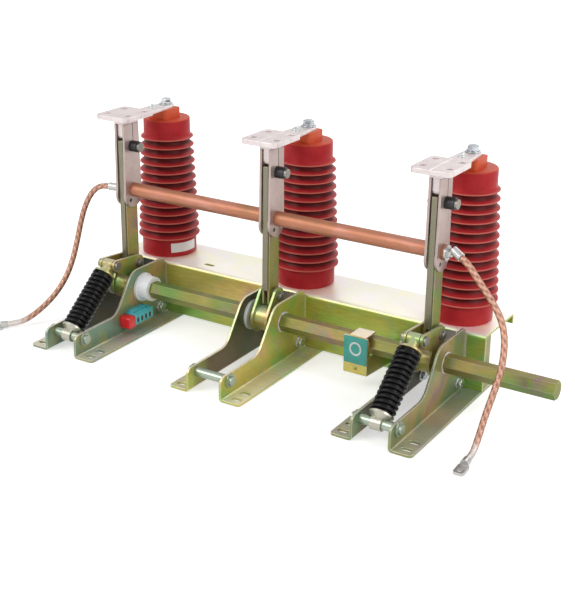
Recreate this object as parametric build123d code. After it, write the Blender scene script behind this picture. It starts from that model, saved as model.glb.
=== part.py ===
"""Indoor earthing switch with three phases, in millimetres.

X runs along the operating shaft, Y to the rear, Z up. The origin is on the floor, in the middle of the
middle bracket's foot slots, straight under the shaft's axis.
"""

from build123d import *
from math import atan2, cos, degrees, hypot, radians, sin, tan
import os

os.makedirs("parts", exist_ok=True)

# Phases, side by side along X
phase_spacing = 230.0
phase_x = (-phase_spacing, 0.0, phase_spacing)
spring_phases = (0, 2)

# Sheet metal
sheet = 3.0
bend_radius = 2.0
overlap = 1.0

# Operating shaft: a hexagonal bar that turns about X
shaft_z = 56.0
shaft_flats = 21.0
shaft_left = -268.0
shaft_right = 395.0
shaft_chamfer = 1.5

# Beam: a bent sheet with its long flange in front
beam_top = 78.0
beam_front = 52.0
beam_depth = 89.0
beam_half_length = 283.0
beam_lip = 13.0
beam_hole = (-142.0, 73.0)
beam_hole_size = (16.0, 6.0)

# Side plates of each bracket, with their foot flanges
plate_half_gap = 23.0
foot_width = 29.5
foot_front = -142.0
nose_height = 31.0
nose_length = 84.0
shoulder_y = -20.0
shoulder_top = 84.0
slot_size = (14.0, 6.5)
slot_x = 41.0
slot_y = 130.0
slot_pitch = 19.0
foot_corner = 5.0

# Shaft bushings: a nylon ring on the hexagon, turning in each side plate
bushing_journal = 27.0
bushing_collar = 40.0
bushing_length = 20.0
running_gap = 0.05

# Post insulators
insulator_y = 98.0
insulator_height = 208.0
rim_height = 194.5
insulator_base = 38.5
insulator_top = 28.5
insulator_boss = 18.0
base_height = 25.4
top_height = 16.6
shed_count = 13
shed_depth = 6.0
shed_edge = 1.2
shed_under = 1.0
shed_foot = 3.4
shed_crest = 0.72
insert_depth = 22.0

# Blades: two flat strips that close over the fixed contact
blade_y = 10.0
blade_depth = 30.0
blade_sheet = 3.0
blade_gap = 10.5
blade_top = 279.0
blade_slit = 1.5
bar_z = 190.0
bar_diameter = 19.0
bar_end_stock = 4.0
lobe_radius = 18.0

# Arms: channels from the shaft up to the blades
arm_depth = 25.0
arm_sheet = 2.5
arm_top = 212.0

# Cranks: two cheeks on a hub that carry the arm and the spring's upper pin
crank_y = -36.0
crank_z = 94.0
cheek = 3.5
cheek_half_gap = 9.0
hub_radius = 17.0
cheek_radius = 20.0
ear_radius = 7.5
crank_pin = 8.0
arm_bolt = 6.0
arm_bolt_z = 86.0
arm_clamp_radius = 11.0

# Springs between the front cross pin and the crank pin
pin_y = -124.0
pin_z = 22.0
cross_pin = 12.0
spring_outer = 29.0
spring_wire = 4.3
spring_coils = 10.0
seat_thickness = 2.5
seat_radius = 15.0
eye_wall = 2.5
eye_width = 14.0
dome_height = 5.0
lower_seat = 8.5
upper_seat = 15.0
spigot = 21.0
spigot_radius = 6.5

# Fixed contacts on the insulators
terminal_width = 52.0
terminal_front = -23.0
terminal_length = 62.0
terminal_thickness = 6.0
terminal_corner = 7.0
terminal_hole = 9.0
terminal_pitch = 33.5
terminal_holes_y = 11.0
tongue_radius = 11.0
tongue_root = 15.0
tongue_thickness = 4.0
tongue_drop = 3.0
neck_height = 7.5
neck_flare = 8.0
contact_gap = 0.3
contact_reach = 28.0

# Clamping bolt with a spring sleeve on each side of the blades
clamp_z = 250.5
clamp_bolt = 6.0
sleeve_diameter = 15.0
sleeve_length = 12.0
cap_diameter = 12.0
cap_length = 3.5
stub_diameter = 11.0
stub_length = 5.0

# Bolts
terminal_bolt = 8.0
base_bolt = 12.0
bolt_clearance = 0.5
bolt_end_room = 4.0
bracket_bolt = 8.0
bracket_bolt_place = (38.0, 14.0)
nut_shank = 0.5

# Indicator bracket
indicator_x = (126.0, 159.0)
indicator_front = -19.0
indicator_z = (20.0, 69.5)
indicator_sheet = 2.0
indicator_tab = (134.0, 157.0)

# Connector block on the left bracket's right plate
connector_y = (-38.0, 2.0)
connector_z = (14.0, 32.0)
connector_depth = 18.0
plug_y = (-64.0, -38.0)
plug_z = (9.0, 26.0)
plug_depth = 20.0

# Copper braids from the ends of the cross bar down to the floor
braid_diameter = 8.0
lug_plate = 2.5
lug_barrel = 11.0
lug_barrel_length = 14.0
left_braid = (
    (-262.0, 9.0, 188.0),
    (-275.0, 8.0, 187.5),
    (-287.0, 6.0, 180.5),
    (-296.0, 3.0, 168.0),
    (-302.5, -1.0, 150.0),
    (-306.5, -6.0, 128.0),
    (-308.0, -13.0, 104.0),
    (-308.5, -24.0, 79.0),
    (-311.0, -38.0, 56.0),
    (-317.0, -55.0, 36.0),
    (-326.0, -74.0, 20.0),
    (-336.0, -92.0, 8.5),
    (-344.0, -103.0, 5.5),
    (-352.0, -114.0, 5.5),
)
right_braid = (
    (262.0, 9.0, 188.0),
    (273.0, 6.5, 182.0),
    (284.0, 3.0, 171.0),
    (296.0, 0.0, 159.5),
    (308.0, -3.5, 148.5),
    (319.5, -8.0, 137.0),
    (329.5, -14.0, 122.0),
    (336.0, -24.0, 104.0),
    (339.5, -37.0, 84.0),
    (339.0, -53.0, 62.0),
    (337.5, -70.0, 40.0),
    (338.0, -86.0, 21.0),
    (338.5, -99.0, 8.5),
    (339.0, -108.0, 5.5),
    (339.5, -119.0, 5.5),
)
far_lug_barrel = 9.8
far_lug_barrel_length = 10.0
far_lug_palm = 22.0
far_lug_width = 13.0
far_lug_hole = 6.5


def rounded_face(corners):
    """Closed outline from (x, y, radius) corners, each rounded by its own radius."""
    face = make_face(Polyline(*[(x, y) for x, y, _ in corners], close=True))
    for x, y, radius in corners:
        if radius:
            corner = face.vertices().sort_by_distance(Vector(x, y, 0))[0]
            face = fillet(corner, radius)
    return face


def across(face, low, high):
    """Solid from a face drawn in Y and Z, between two places along X."""
    return extrude(Plane.YZ.offset(low) * face, amount=high - low)


def bent_sheet(points, thickness, radius, side):
    """Section of a bent sheet: a line with rounded corners, and its offset on one side."""
    line = FilletPolyline(*points, radius=radius)
    return make_face(offset(line, amount=thickness, side=side, closed=True))


def x_cylinder(diameter, low, high, y, z):
    """Round bar along X between two places, centred at Y and Z."""
    return Pos((low + high) / 2, y, z) * Rot(0, 90, 0) * Cylinder(diameter / 2, high - low)


def x_hexagon(flats, low, high, y, z):
    """Hexagonal bar along X with two level flats."""
    section = RegularPolygon(flats / 2, 6, major_radius=False)
    return extrude(Plane.YZ.offset(low) * Pos(y, z) * section, amount=high - low)


def z_cylinder(diameter, low, high, x, y):
    """Round bar along Z between two heights."""
    return Pos(x, y, (low + high) / 2) * Cylinder(diameter / 2, high - low)


def hex_bolt(thread, shank):
    """Bolt along Z with its washer's underside at zero, the shank below and the head above."""
    washer = 0.18 * thread
    head = 0.65 * thread
    flats = 1.6 * thread
    disc = Pos(0, 0, washer / 2) * Cylinder(1.05 * thread, washer)
    hexagon = Pos(0, 0, washer) * extrude(RegularPolygon(flats / 2, 6, major_radius=False), amount=head)
    crown = Pos(0, 0, washer) * Cone(flats * 0.72, flats * 0.47, head, align=(Align.CENTER, Align.CENTER, Align.MIN))
    rod = Pos(0, 0, -shank / 2) * Cylinder(thread / 2, shank)
    return rod + disc + (hexagon & crown)


def beam():
    """Long bent sheet: top plate, deep front flange and a short lip behind."""
    rear = beam_front + beam_depth
    section = bent_sheet(
        [(beam_front, sheet), (beam_front, beam_top), (rear, beam_top), (rear, beam_top - beam_lip)],
        sheet,
        bend_radius + sheet,
        Side.RIGHT,
    )
    body = across(section, -beam_half_length, beam_half_length)
    notch_half = plate_half_gap + sheet + bend_radius
    for x in phase_x:
        body -= Pos(x, beam_front, beam_top - sheet) * Box(
            2 * notch_half, 2 * (sheet + bend_radius), 2 * beam_top, align=(Align.CENTER, Align.CENTER, Align.MAX)
        )
        body -= z_cylinder(base_bolt + 2 * bolt_clearance, beam_top - 2 * sheet, beam_top + sheet, x, insulator_y)
    slot = SlotOverall(*beam_hole_size)
    body -= Pos(*beam_hole, beam_top - 2 * sheet) * extrude(slot, amount=3 * sheet)
    return body


def side_plate():
    """Right-hand plate of a bracket: a boot outline with its foot bent outwards."""
    inner = plate_half_gap
    rear = beam_front + beam_depth - sheet
    under_beam = beam_top - sheet
    section = bent_sheet(
        [(inner, shoulder_top + sheet), (inner, 0), (inner + foot_width, 0)], sheet, bend_radius + sheet, Side.LEFT
    )
    blank = extrude(Plane.XZ.offset(-rear) * section, amount=rear - foot_front)
    outline = rounded_face(
        [
            (foot_front, 0, 0),
            (foot_front, nose_height, 9),
            (foot_front + nose_length, nose_height, 24),
            (shoulder_y, shoulder_top, 22),
            (beam_front, shoulder_top, 0.7 * (shoulder_top - under_beam)),
            (beam_front, under_beam, 0),
            (rear, under_beam, 2 * bend_radius),
            (rear, 0, 0),
        ]
    )
    plate = blank & across(outline, inner - overlap, inner + foot_width + overlap)
    outer_edges = plate.edges().filter_by(Axis.Z).filter_by(lambda e: e.center().X > inner + foot_width - overlap)
    plate = fillet(outer_edges, foot_corner)
    plate -= x_cylinder(bushing_journal + 2 * running_gap, inner - overlap, inner + sheet + overlap, 0, shaft_z)
    plate -= x_cylinder(cross_pin, inner - overlap, inner + sheet + overlap, pin_y, pin_z)
    plate -= x_cylinder(bracket_bolt, inner - overlap, inner + sheet + overlap, *bracket_bolt_place)
    slot = SlotOverall(*slot_size)
    for end in (-1, 1):
        for step in (0, slot_pitch):
            place = Pos(slot_x, end * (slot_y - step), -overlap)
            plate -= place * extrude(slot, amount=sheet + 2 * overlap)
    return plate


def insulator():
    """Ribbed post standing on the beam, turned about Z."""
    rise = rim_height - base_height - top_height
    pitch = rise / shed_count

    def root(height):
        share = (height - base_height) / rise
        return insulator_base - 0.5 + (insulator_top - insulator_base) * min(max(share, 0), 1)

    points = [(0, 0), (insulator_base, 0), (insulator_base, base_height)]
    for shed in range(shed_count):
        low = base_height + shed * pitch
        tip = root(low + pitch / 2) + shed_depth
        crest = low + shed_crest * pitch
        points += [
            (root(low + shed_foot), low + shed_foot),
            (tip, low + shed_under),
            (tip, low + shed_under + shed_edge),
            (root(crest), crest),
        ]
    shoulder = rim_height - top_height
    points += [
        (insulator_top + 0.6, shoulder + 2),
        (insulator_top - 0.6, shoulder + top_height * 0.5),
        (insulator_top, rim_height),
        (insulator_boss, rim_height),
        (insulator_boss - 1, insulator_height),
        (0, insulator_height),
    ]
    post = revolve(Plane.XZ * make_face(Polyline(*points, close=True)), Axis.Z)
    post -= z_cylinder(base_bolt, 0, insert_depth, 0, 0)
    post -= z_cylinder(terminal_bolt, insulator_height - insert_depth, insulator_height, 0, 0)
    return Pos(0, insulator_y, beam_top) * post


def fixed_contact():
    """Cast terminal: flat plate, a lower tongue back to the insulator, a flared neck and a blade below it."""
    post_top = beam_top + insulator_height
    under = post_top + tongue_drop
    centre_y = terminal_front + terminal_length / 2
    outline = Pos(0, centre_y) * RectangleRounded(terminal_width, terminal_length, terminal_corner)
    plate = Pos(0, 0, under) * extrude(outline, amount=terminal_thickness)
    tongue = make_hull(
        [
            Pos(0, insulator_y) * Edge.make_circle(tongue_radius),
            Pos(0, terminal_front + terminal_length - tongue_root) * Edge.make_circle(tongue_root),
        ]
    )
    tongue = Pos(0, 0, post_top) * extrude(tongue, amount=tongue_thickness)
    neck_x = blade_gap / 2 + blade_sheet
    neck_y = blade_depth / 2
    low = under - neck_height
    profile_x = make_face(
        Polyline((-neck_x, low), (neck_x, low))
        + ThreePointArc(
            (neck_x, low), (neck_x + 0.29 * neck_flare, under - 0.29 * neck_height), (neck_x + neck_flare, under)
        )
        + Line((neck_x + neck_flare, under), (-neck_x - neck_flare, under))
        + ThreePointArc(
            (-neck_x - neck_flare, under), (-neck_x - 0.29 * neck_flare, under - 0.29 * neck_height), (-neck_x, low)
        )
    )
    neck = extrude(Plane.XZ.offset(-blade_y) * profile_x, amount=neck_y + 2, both=True)
    half_blade = blade_gap / 2 - contact_gap
    blade = Pos(0, blade_y, under - contact_reach / 2) * Box(2 * half_blade, blade_depth - 4, contact_reach)
    foot = blade.edges().filter_by(Axis.Y).group_by(Axis.Z)[0]
    blade = chamfer(foot, 2)
    casting = plate + tongue + neck + blade
    for x in (-0.5, 0.5):
        for y in (-0.5, 0.5):
            casting -= z_cylinder(
                terminal_hole,
                under - neck_height - overlap,
                under + terminal_thickness + overlap,
                x * terminal_pitch,
                terminal_holes_y + y * terminal_pitch,
            )
    casting -= z_cylinder(
        terminal_bolt + 2 * bolt_clearance, post_top - overlap, under + terminal_thickness + overlap, 0, insulator_y
    )
    return casting


def top_bolt_set():
    """Bolt that holds the terminal's tongue on the insulator."""
    seat = beam_top + insulator_height + tongue_thickness
    return Pos(0, insulator_y, seat) * hex_bolt(terminal_bolt, tongue_thickness + insert_depth - bolt_end_room)


def base_bolt_set():
    """Bolt up through the beam into the insulator."""
    seat = beam_top - sheet
    return Pos(0, insulator_y, seat) * Rot(180, 0, 0) * hex_bolt(base_bolt, sheet + insert_depth - bolt_end_room)


def spring_pin():
    """Cross pin through both side plates near the toe, with a collar outside each plate."""
    outside = plate_half_gap + sheet
    pin = x_cylinder(cross_pin, -outside - 6, outside + 6, pin_y, pin_z)
    for side in (-1, 1):
        low, high = sorted((side * outside, side * (outside + 2.5)))
        pin += x_cylinder(cross_pin + 6, low, high, pin_y, pin_z)
    return pin


def bracket_bolts():
    """Bolt through each side plate of one bracket, low down in front of the beam, with its nut inside."""
    outside = plate_half_gap + sheet
    y, z = bracket_bolt_place
    bolts = []
    for side in (-1, 1):
        bolt = Pos(side * outside, y, z) * Rot(0, side * 90, 0) * hex_bolt(bracket_bolt, sheet + nut_shank)
        nut = Pos(side * plate_half_gap, y, z) * Rot(0, -side * 90, 0) * hex_bolt(bracket_bolt, nut_shank)
        bolts.append(bolt + nut)
    return bolts


def shaft():
    """Hexagonal bar with its ends chamfered."""
    bar = x_hexagon(shaft_flats, shaft_left, shaft_right, 0, shaft_z)
    corner = shaft_flats / 2 / cos(radians(30))
    length = shaft_right - shaft_left
    turned = Cylinder(corner + overlap, length)
    turned = chamfer(turned.edges().filter_by(GeomType.CIRCLE), shaft_chamfer + overlap)
    place = Pos((shaft_left + shaft_right) / 2, 0, shaft_z) * Rot(0, 90, 0)
    return bar & (place * turned)


def bushing(side, outward):
    """Nylon ring on the hexagon, its journal in the side plate and its collar on one face of it."""
    inner = plate_half_gap
    outer = plate_half_gap + sheet
    if outward:
        body = x_cylinder(bushing_journal, inner - 2, outer + 0.3, 0, shaft_z)
        body += x_cylinder(bushing_collar, outer + 0.3, outer + 4, 0, shaft_z)
        body += x_cylinder(bushing_collar - 6, outer + 4, outer + bushing_length, 0, shaft_z)
    else:
        body = x_cylinder(bushing_journal, inner - 0.3, outer, 0, shaft_z)
        body += x_cylinder(bushing_collar, inner - 4, inner - 0.3, 0, shaft_z)
    body -= x_hexagon(shaft_flats, inner - 10, outer + bushing_length + 10, 0, shaft_z)
    return body if side > 0 else mirror(body, about=Plane.YZ)


def arm():
    """Channel from the hub up past the cross bar, open to the front."""
    half = blade_gap / 2
    front = blade_y - arm_depth / 2
    rear = blade_y + arm_depth / 2
    section = bent_sheet([(-half, front), (-half, rear), (half, rear), (half, front)], arm_sheet, 3.5, Side.RIGHT)
    low = shaft_z + cheek_radius
    channel = Pos(0, 0, low) * extrude(section, amount=arm_top - low)
    channel -= x_cylinder(bar_diameter, -half - overlap, half + overlap, blade_y, bar_z)
    channel -= x_cylinder(arm_bolt, -half - overlap, half + overlap, blade_y, arm_bolt_z)
    return channel


def crank(with_ears):
    """Two cheeks on a hub, with bosses that clamp the arm and ears for the spring's pin."""
    top = Pos(blade_y, arm_bolt_z) * Edge.make_circle(arm_clamp_radius)
    hub = Pos(0, shaft_z) * Edge.make_circle(cheek_radius)
    outline = make_hull([top, hub])
    if with_ears:
        ear = Pos(crank_y, crank_z) * Edge.make_circle(ear_radius)
        outline = outline + make_hull([ear, top]) + make_hull([ear, Pos(0, shaft_z + 14) * Edge.make_circle(5)])
    body = None
    for side in (-1, 1):
        low, high = sorted((side * cheek_half_gap, side * (cheek_half_gap + cheek)))
        plate = across(outline, low, high)
        body = plate if body is None else body + plate
        boss_low, boss_high = sorted((side * blade_gap / 2, side * cheek_half_gap))
        body += x_cylinder(15, boss_low, boss_high, blade_y, arm_bolt_z)
    body += x_cylinder(2 * hub_radius, -cheek_half_gap, cheek_half_gap, 0, shaft_z)
    reach = cheek_half_gap + cheek + overlap
    body -= x_hexagon(shaft_flats, -reach, reach, 0, shaft_z)
    body -= x_cylinder(arm_bolt, -reach, reach, blade_y, arm_bolt_z)
    if with_ears:
        body -= x_cylinder(crank_pin, -reach, reach, crank_y, crank_z)
    return body


def crank_bolt():
    """Bolt through cheeks, bosses and arm, with a nut at the far end."""
    reach = cheek_half_gap + cheek
    bolt = Pos(reach, blade_y, arm_bolt_z) * Rot(0, 90, 0) * hex_bolt(arm_bolt, 2 * reach)
    nut = Pos(-reach, blade_y, arm_bolt_z) * Rot(0, -90, 0) * hex_bolt(arm_bolt, nut_shank)
    return bolt + nut


def crank_pin_piece():
    """Pin through both ears with a head at each end."""
    reach = cheek_half_gap + cheek
    pin = x_cylinder(crank_pin, -reach, reach, crank_y, crank_z)
    for side in (-1, 1):
        low, high = sorted((side * reach, side * (reach + 3.5)))
        pin += x_cylinder(crank_pin + 4, low, high, crank_y, crank_z)
    return pin


def blade():
    """Right-hand blade: a flat strip with a round lobe at the cross bar."""
    half = blade_depth / 2
    front = blade_y - half
    rear = blade_y + half
    strip = rounded_face([(front, bar_z, 0), (front, blade_top, 12), (rear, blade_top, 4), (rear, bar_z, 0)])
    lobe = Pos(blade_y, bar_z) * Circle(lobe_radius)
    low = blade_gap / 2
    plate = across(strip + lobe, low, low + blade_sheet)
    plate -= x_cylinder(bar_diameter, low - overlap, low + blade_sheet + overlap, blade_y, bar_z)
    plate -= x_cylinder(clamp_bolt, low - overlap, low + blade_sheet + overlap, blade_y, clamp_z)
    slit = Pos(0, blade_y, clamp_z) * Box(blade_gap + 2 * blade_sheet + overlap, blade_slit, 2 * (blade_top - clamp_z))
    plate -= slit & Pos(0, blade_y, blade_top) * Box(2 * blade_depth, blade_depth, 2 * (blade_top - clamp_z))
    return plate


def clamp():
    """Bolt across the blades: a spring sleeve under a cap on the right, a short stub on the left."""
    face = blade_gap / 2 + blade_sheet
    end = face + sleeve_length
    body = x_cylinder(clamp_bolt, -face, end, blade_y, clamp_z)
    body += x_cylinder(stub_diameter, -face - stub_length, -face, blade_y, clamp_z)
    body += x_cylinder(cap_diameter, end, end + cap_length, blade_y, clamp_z)
    sleeve = x_cylinder(sleeve_diameter, face, end, blade_y, clamp_z)
    sleeve -= x_cylinder(clamp_bolt, face - overlap, end + overlap, blade_y, clamp_z)
    return body, sleeve


def cross_bar():
    """Round copper bar through all the blades."""
    half = bar_half_length()
    bar = x_cylinder(bar_diameter, -half, half, blade_y, bar_z)
    return chamfer(bar.edges().filter_by(GeomType.CIRCLE), 1.0)


def bar_half_length():
    """Half the length of the cross bar: the outer blade faces and a short stub."""
    return phase_spacing + blade_gap / 2 + blade_sheet + bar_end_stock


def spring_line():
    """Length and slope of the line from the front cross pin to the crank pin."""
    run = crank_y - pin_y
    rise = crank_z - pin_z
    return hypot(run, rise), degrees(atan2(rise, run))


def along_spring(piece):
    """Place a piece made along Z, from the cross pin at zero towards the crank pin."""
    _, slope = spring_line()
    return Pos(0, pin_y, pin_z) * Rot(slope - 90, 0, 0) * piece


def lower_guide():
    """Domed seat with a slim eye round the cross pin and a spigot inside the coil."""
    eye_radius = cross_pin / 2 + eye_wall
    eye = Rot(0, 90, 0) * Cylinder(eye_radius, eye_width)
    dome = Pos(0, 0, lower_seat - dome_height) * Cone(
        eye_radius, seat_radius, dome_height, align=(Align.CENTER, Align.CENTER, Align.MIN)
    )
    seat_top = lower_seat + seat_thickness
    seat = Pos(0, 0, lower_seat) * Cylinder(seat_radius, seat_thickness, align=(Align.CENTER, Align.CENTER, Align.MIN))
    rod = Pos(0, 0, seat_top) * Cylinder(spigot_radius, spigot, align=(Align.CENTER, Align.CENTER, Align.MIN))
    body = eye + dome + seat + rod
    body -= Rot(0, 90, 0) * Cylinder(cross_pin / 2 + running_gap, 4 * seat_radius)
    return along_spring(body)


def upper_guide():
    """Flat seat with a round stem and an eye between the crank's ears, and a spigot inside the coil."""
    length, _ = spring_line()
    half_width = cheek_half_gap - 1
    eye_radius = crank_pin / 2 + 3.5
    eye = Rot(0, 90, 0) * Cylinder(eye_radius, 2 * half_width)
    stem = Cylinder(half_width - 0.5, upper_seat, align=(Align.CENTER, Align.CENTER, Align.MAX))
    seat = Pos(0, 0, -upper_seat) * Cylinder(seat_radius, seat_thickness, align=(Align.CENTER, Align.CENTER, Align.MAX))
    rod = Pos(0, 0, -upper_seat - seat_thickness) * Cylinder(
        spigot_radius, spigot, align=(Align.CENTER, Align.CENTER, Align.MAX)
    )
    body = eye + stem + seat + rod
    body -= Rot(0, 90, 0) * Cylinder(crank_pin / 2 + running_gap, 4 * seat_radius)
    return along_spring(Pos(0, 0, length) * body)


def coil_spring():
    """Round-wire compression spring between the two seats."""
    length, _ = spring_line()
    low = lower_seat + seat_thickness + spring_wire / 2 + 0.3
    high = length - upper_seat - seat_thickness - spring_wire / 2 - 0.3
    mean = (spring_outer - spring_wire) / 2
    path = Helix(pitch=(high - low) / spring_coils, height=high - low, radius=mean)
    section = Plane(origin=path @ 0, z_dir=path % 0) * RegularPolygon(spring_wire / 2, 8)
    return along_spring(Pos(0, 0, low) * sweep(section, path=path, is_frenet=True))


def indicator():
    """Bent sheet in front of the shaft: face, side flange back to the beam and a tab on top."""
    left, right = indicator_x
    low, high = indicator_z
    front = indicator_front
    t = indicator_sheet
    face = Pos((left + right) / 2, front + t / 2, (low + high) / 2) * Box(right - left, t, high - low)
    under_shaft = shaft_z - shaft_flats / 2 - 3
    outline = rounded_face(
        [
            (front, low, 0),
            (front, high - 4, 2),
            (front + 5, high - 4, 2),
            (front + 7, under_shaft, 6),
            (beam_front, under_shaft, 0),
            (beam_front, low - 6, 0),
        ]
    )
    flange = across(outline, right - t, right)
    tab_left, tab_right = indicator_tab
    tab = Pos((tab_left + tab_right) / 2, front + 12, high + t / 2) * Box(tab_right - tab_left, 24, t)
    return face + flange + tab


def connector_base():
    """Connector housing on the left bracket's right plate."""
    x = phase_x[0] + plate_half_gap + sheet
    low_y, high_y = connector_y
    low_z, high_z = connector_z
    size = (connector_depth, high_y - low_y, high_z - low_z)
    body = Pos(x, low_y, low_z) * Box(*size, align=Align.MIN)
    body += Pos(x, low_y - 14, plug_z[1]) * Box(connector_depth, 14, high_z - plug_z[1], align=Align.MIN)
    for step in range(4):
        body -= Pos(x + connector_depth - 4, low_y + 4 + 9 * step, low_z + 4) * Box(5, 5, 8, align=Align.MIN)
    return body


def connector_plug():
    """Plug that sits in front of the housing."""
    x = phase_x[0] + plate_half_gap + sheet
    size = (plug_depth, plug_y[1] - plug_y[0], plug_z[1] - plug_z[0])
    body = Pos(x, plug_y[0], plug_z[0]) * Box(*size, align=Align.MIN)
    return fillet(body.edges().filter_by(Axis.Z), 2)


def bar_lug(side, exit_point, next_point):
    """Cable lug on the cross bar's end: a round palm under a bolt, and a barrel towards the braid."""
    end = bar_half_length()
    low, high = sorted((side * end, side * (end + lug_plate)))
    palm = x_cylinder(bar_diameter, low, high, blade_y, bar_z)
    start = Vector(*exit_point)
    direction = (start - Vector(*next_point)).normalized()
    barrel = Plane(origin=start, z_dir=direction) * Cylinder(
        lug_barrel / 2, lug_barrel_length, align=(Align.CENTER, Align.CENTER, Align.MIN)
    )
    bolt = Pos(side * (end + lug_plate), blade_y, bar_z) * Rot(0, side * 90, 0) * hex_bolt(6, 0.5)
    return palm + barrel + bolt


def braid(points, name):
    """Round tube along straight runs joined by tangent arcs, as large as the runs allow."""
    spots = [Vector(*p) for p in points]
    radii = []
    for before, here, after in zip(spots, spots[1:], spots[2:]):
        turn = (here - before).get_angle(after - here)
        run = min((here - before).length, (after - here).length)
        radii.append(0.45 * run / tan(radians(turn / 2)))
    path = FilletPolyline(*points, radius=radii)
    section = Plane(origin=path @ 0, z_dir=path % 0) * Circle(braid_diameter / 2)
    tube = sweep(section, path=path)
    expected = path.length * 3.14159 * (braid_diameter / 2) ** 2
    print(name, "length", round(path.length, 1), "volume ratio", round(tube.volume / expected, 4))
    print(name, "radii", [round(r, 1) for r in radii])
    return tube


def far_lug(points):
    """Tinned lug flat on the floor at a braid's far end: a barrel that flattens into a palm."""
    end = Vector(*points[-1])
    before = Vector(*points[-2])
    heading = Vector(end.X - before.X, end.Y - before.Y, 0).normalized()
    frame = Plane(origin=(end.X, end.Y, end.Z), x_dir=heading, z_dir=(0, 0, 1))
    barrel_radius = far_lug_barrel / 2
    barrel = Pos(far_lug_barrel_length / 2, 0, 0) * Rot(0, 90, 0) * Cylinder(barrel_radius, far_lug_barrel_length)
    palm = Box(far_lug_palm, far_lug_width, sheet, align=(Align.MIN, Align.CENTER, Align.MIN))
    palm = fillet(palm.edges().filter_by(Axis.Z), 0.3 * far_lug_width)
    palm -= Pos(far_lug_palm - far_lug_width / 2, 0, 0) * Cylinder(far_lug_hole / 2, 4 * sheet)
    lug = barrel + Pos(far_lug_barrel_length - 3, 0, -barrel_radius) * palm
    return frame * lug


def save(name, pieces):
    """Write one node: one solid, or several that don't touch."""
    shape = Compound(children=pieces) if isinstance(pieces, list) else pieces
    shape.label = name
    export_step(shape, f"parts/{name}.step")
    print(name)


def main():
    save("beam", beam())
    right_plate = side_plate()
    left_plate = mirror(right_plate, about=Plane.YZ)
    post = insulator()
    contact = fixed_contact()
    channel = arm()
    right_blade = blade()
    left_blade = mirror(right_blade, about=Plane.YZ)
    clamp_body, clamp_sleeve = clamp()
    for number, x in enumerate(phase_x, start=1):
        place = Pos(x, 0, 0)
        save(f"plate_left_{number}", place * left_plate)
        save(f"plate_right_{number}", place * right_plate)
        save(f"insulator_{number}", place * post)
        save(f"fixed_contact_{number}", place * contact)
        save(f"arm_{number}", place * channel)
        save(f"crank_{number}", place * crank(number - 1 in spring_phases))
        save(f"blades_{number}", [place * left_blade, place * right_blade])
    save("terminal_bolts", [Pos(x, 0, 0) * top_bolt_set() for x in phase_x])
    save("base_bolts", [Pos(x, 0, 0) * base_bolt_set() for x in phase_x])
    save("cross_pins", [Pos(x, 0, 0) * spring_pin() for x in phase_x])
    save("bracket_bolts", [Pos(x, 0, 0) * bolt for x in phase_x for bolt in bracket_bolts()])
    save("clamp_bolts", [Pos(x, 0, 0) * clamp_body for x in phase_x])
    save("clamp_sleeves", [Pos(x, 0, 0) * clamp_sleeve for x in phase_x])
    save("crank_bolts", [Pos(x, 0, 0) * crank_bolt() for x in phase_x])
    save("shaft", shaft())
    rings = []
    for index, x in enumerate(phase_x):
        for side in (-1, 1):
            rings.append(Pos(x, 0, 0) * bushing(side, index == 0 and side == 1))
    save("shaft_bushings", rings)
    save("cross_bar", cross_bar())
    save("crank_pins", [Pos(phase_x[i], 0, 0) * crank_pin_piece() for i in spring_phases])
    for index, name in zip(spring_phases, ("left", "right")):
        place = Pos(phase_x[index], 0, 0)
        save(f"lower_guide_{name}", place * lower_guide())
        save(f"upper_guide_{name}", place * upper_guide())
        save(f"spring_{name}", place * coil_spring())
    save("indicator_bracket", indicator())
    save("connector_base", connector_base())
    save("connector_plug", connector_plug())
    for side, name, route in ((-1, "left", left_braid), (1, "right", right_braid)):
        save(f"bar_lug_{name}", bar_lug(side, route[0], route[1]))
        save(f"braid_{name}", braid(route, f"braid_{name}"))
        save(f"far_lug_{name}", far_lug(route))


main()
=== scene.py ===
"""Looks of a three-phase indoor earthing switch, laid round its CAD frame.

Metres, +X along the shaft, +Y to the rear, +Z up."""

from math import cos, pi, radians, sin

import bmesh
import bpy
import numpy as np
from mathutils import Matrix, Vector


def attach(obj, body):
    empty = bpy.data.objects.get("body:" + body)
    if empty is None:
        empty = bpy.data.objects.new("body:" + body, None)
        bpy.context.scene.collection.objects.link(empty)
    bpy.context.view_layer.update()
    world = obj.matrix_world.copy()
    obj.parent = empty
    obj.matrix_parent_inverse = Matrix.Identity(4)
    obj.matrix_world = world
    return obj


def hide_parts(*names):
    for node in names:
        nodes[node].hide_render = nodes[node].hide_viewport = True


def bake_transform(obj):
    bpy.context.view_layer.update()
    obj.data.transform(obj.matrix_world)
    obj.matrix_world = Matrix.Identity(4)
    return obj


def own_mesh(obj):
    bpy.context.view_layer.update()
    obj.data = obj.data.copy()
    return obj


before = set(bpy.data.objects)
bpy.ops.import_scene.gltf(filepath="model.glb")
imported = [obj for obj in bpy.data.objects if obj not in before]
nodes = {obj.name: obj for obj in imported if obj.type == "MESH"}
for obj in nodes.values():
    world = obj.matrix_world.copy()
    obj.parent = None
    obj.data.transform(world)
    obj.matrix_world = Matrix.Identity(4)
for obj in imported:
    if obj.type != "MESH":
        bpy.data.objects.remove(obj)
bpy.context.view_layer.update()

MM = 0.001
PHASES = (-0.230, 0.0, 0.230)
SIDES = (("left", PHASES[0]), ("right", PHASES[2]))
BEAM_TOP = 0.078
INSULATOR_Y = 0.098
SHAFT_Z = 0.056


# Surfaces


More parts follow.
